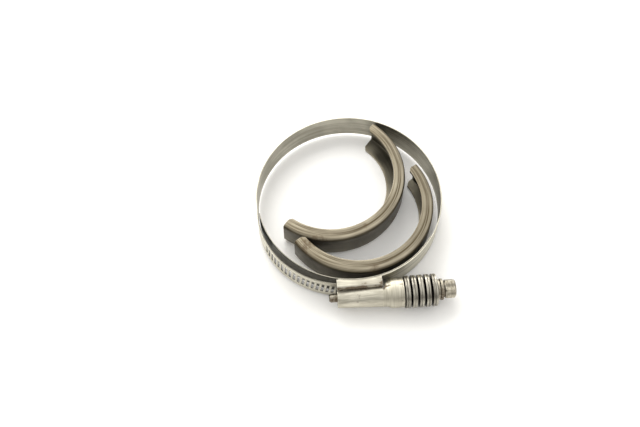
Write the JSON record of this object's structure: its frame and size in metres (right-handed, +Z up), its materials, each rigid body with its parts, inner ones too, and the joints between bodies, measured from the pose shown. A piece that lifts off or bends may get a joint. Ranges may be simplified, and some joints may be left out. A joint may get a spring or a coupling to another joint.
{
  "type": "pipe repair clamp",
  "caption": "Flat-lying band clamp with a worm screw and a cone-spring stack, and two loose V-channel half rings stored inside its loop.",
  "frame": {"origin": "centre of the band loop, on the floor that the clamp lies on", "axes": "+Z up, along the loop's axis; +X along the screw towards its hex head; the screw housing is at -Y"},
  "size_m": [0.104, 0.1184, 0.0186],
  "materials": {
    "band_steel": "rolled, satin",
    "liner_steel": "rolled, satin",
    "housing_steel": "bright, pressed",
    "spring_steel": "dull, tumbled",
    "screw_steel": "machined",
    "segment_steel": "roll-formed, brushed lengthwise, stained"
  },
  "bodies": {
    "clamp_frame": {"strap_fixed": "band_steel", "strap_bow": "band_steel", "liner": "liner_steel", "saddle": "housing_steel", "barrel": "housing_steel", "spring_seat": "housing_steel", "belleville_01": "spring_steel", "belleville_02": "spring_steel", "belleville_03": "spring_steel", "belleville_04": "spring_steel", "belleville_05": "spring_steel", "belleville_06": "spring_steel", "belleville_07": "spring_steel", "belleville_08": "spring_steel", "belleville_09": "spring_steel", "belleville_10": "spring_steel"},
    "strap_half": {"strap_slotted": "band_steel"},
    "pressure_washer": {"thrust_washer": "screw_steel"},
    "screw": {"worm_screw": "screw_steel"},
    "upper_half_ring": {"segment_upper": "segment_steel"},
    "lower_half_ring": {"segment_lower": "segment_steel"}
  },
  "joints": [
    {"name": "spring_compress", "type": "slide", "parent": "clamp_frame", "child": "pressure_washer", "axis": [-1, 0, 0], "range_m": [0, 0.0023], "deforming": ["belleville_01", "belleville_02", "belleville_03", "belleville_04", "belleville_05", "belleville_06", "belleville_07", "belleville_08", "belleville_09", "belleville_10"]},
    {"name": "screw_turn", "type": "hinge", "parent": "pressure_washer", "child": "screw", "pos_m": [0, -0.05765, 0.0093], "axis": [-1, 0, 0], "range_deg": [0, 1260]},
    {"name": "strap_close", "type": "hinge", "parent": "clamp_frame", "child": "strap_half", "pos_m": [0, 0.0517, 0.0093], "axis": [0, 0, 1], "range_deg": [0, 4.08], "deforming": ["strap_bow", "liner"]},
    {"name": "upper_lift", "type": "slide", "parent": "clamp_frame", "child": "upper_half_ring", "axis": [0, 0, 1], "range_m": [0, 0.04]},
    {"name": "lower_lift", "type": "slide", "parent": "clamp_frame", "child": "lower_half_ring", "axis": [0, 0, 1], "range_m": [0, 0.04]}
  ],
  "couplings": [
    {"joint": "spring_compress", "follows": "screw_turn", "m_per_rad": 0.00010459},
    {"joint": "strap_close", "follows": "screw_turn", "ratio": 0.0032373}
  ]
}
